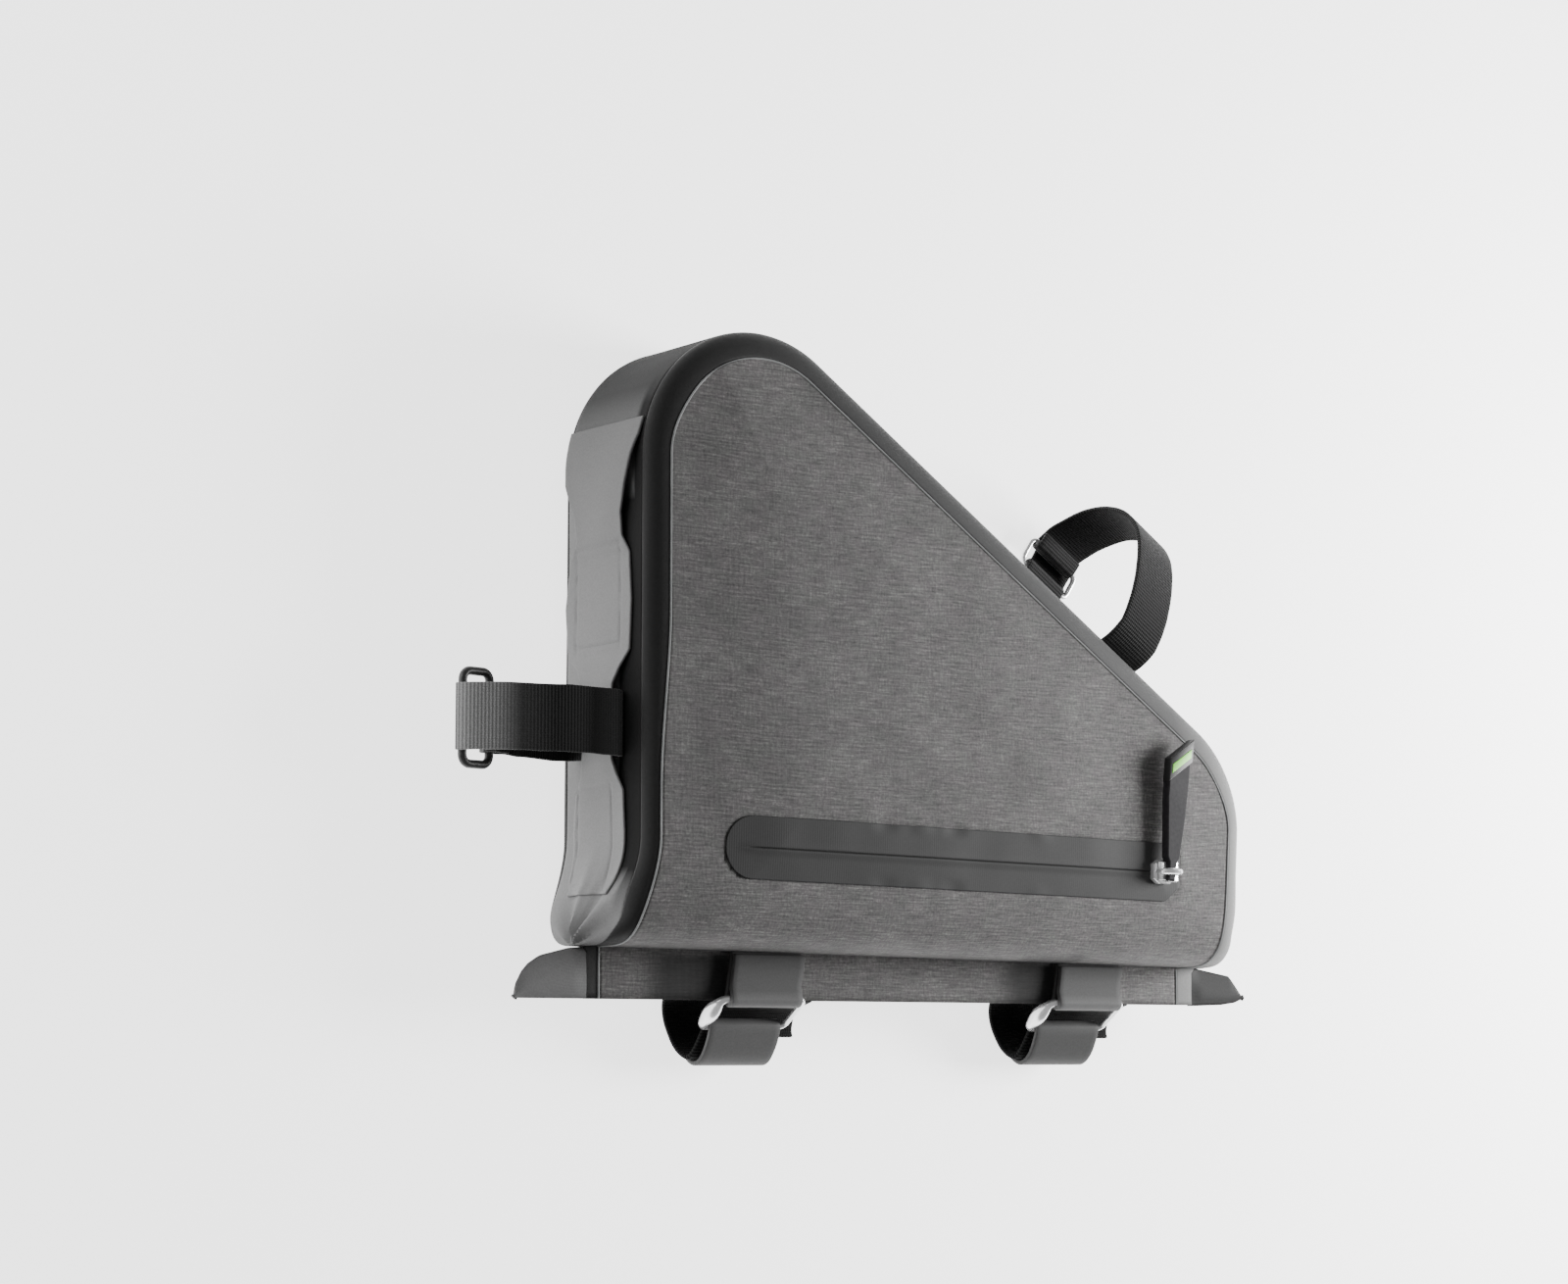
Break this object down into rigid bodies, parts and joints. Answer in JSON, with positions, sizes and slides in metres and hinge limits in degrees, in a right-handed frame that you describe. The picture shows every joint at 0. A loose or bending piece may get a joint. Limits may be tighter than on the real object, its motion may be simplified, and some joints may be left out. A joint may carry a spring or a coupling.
{
  "type": "bicycle frame bag",
  "caption": "Triangular bicycle frame bag in grey heather cloth with a dark side band, a zip along the top tube, and hook straps for the top tube, seat tube and down tube.",
  "frame": {"origin": "on the back panel's flat outer face, halfway along the body and halfway between the top-tube fold and the apex", "axes": "+X along the top-tube fin from the seat side to the head side, +Y from the fin to the apex, +Z out of the front panel that has the zip; the bag lies on its back panel"},
  "size_m": [0.397, 0.2815, 0.0752],
  "materials": {
    "heather_cloth": "coated heather melange, matt",
    "coated_cloth": "smooth coated cloth, satin",
    "zip_tape": "water-resistant coated zip tape",
    "webbing": "ribbed webbing, matt",
    "strap_cloth": "coated strap cloth, matt",
    "ring_metal": "polished",
    "ring_plastic": "matt",
    "pull_rubber": "satin",
    "pull_green": "matt"
  },
  "bodies": {
    "root": {"front_panel": "heather_cloth", "back_panel": "heather_cloth", "gusset": "coated_cloth", "seat_overlay": "coated_cloth", "zip_tape_upper": "zip_tape", "zip_tape_lower": "zip_tape", "zip_coil": "zip_tape", "zip_slider": "ring_metal", "zip_pull": "pull_rubber", "pull_stripe": "pull_green", "top_strap_1_tab": "strap_cloth", "top_strap_2_tab": "strap_cloth", "top_strap_1_ring": "ring_metal", "top_strap_2_ring": "ring_metal", "top_strap_1_loop": "webbing", "top_strap_2_loop": "webbing", "seat_strap": "webbing", "seat_strap_ring": "ring_plastic", "slant_strap_anchor": "webbing", "slant_strap_ring": "ring_metal", "slant_strap_loop": "webbing"}
  },
  "joints": []
}
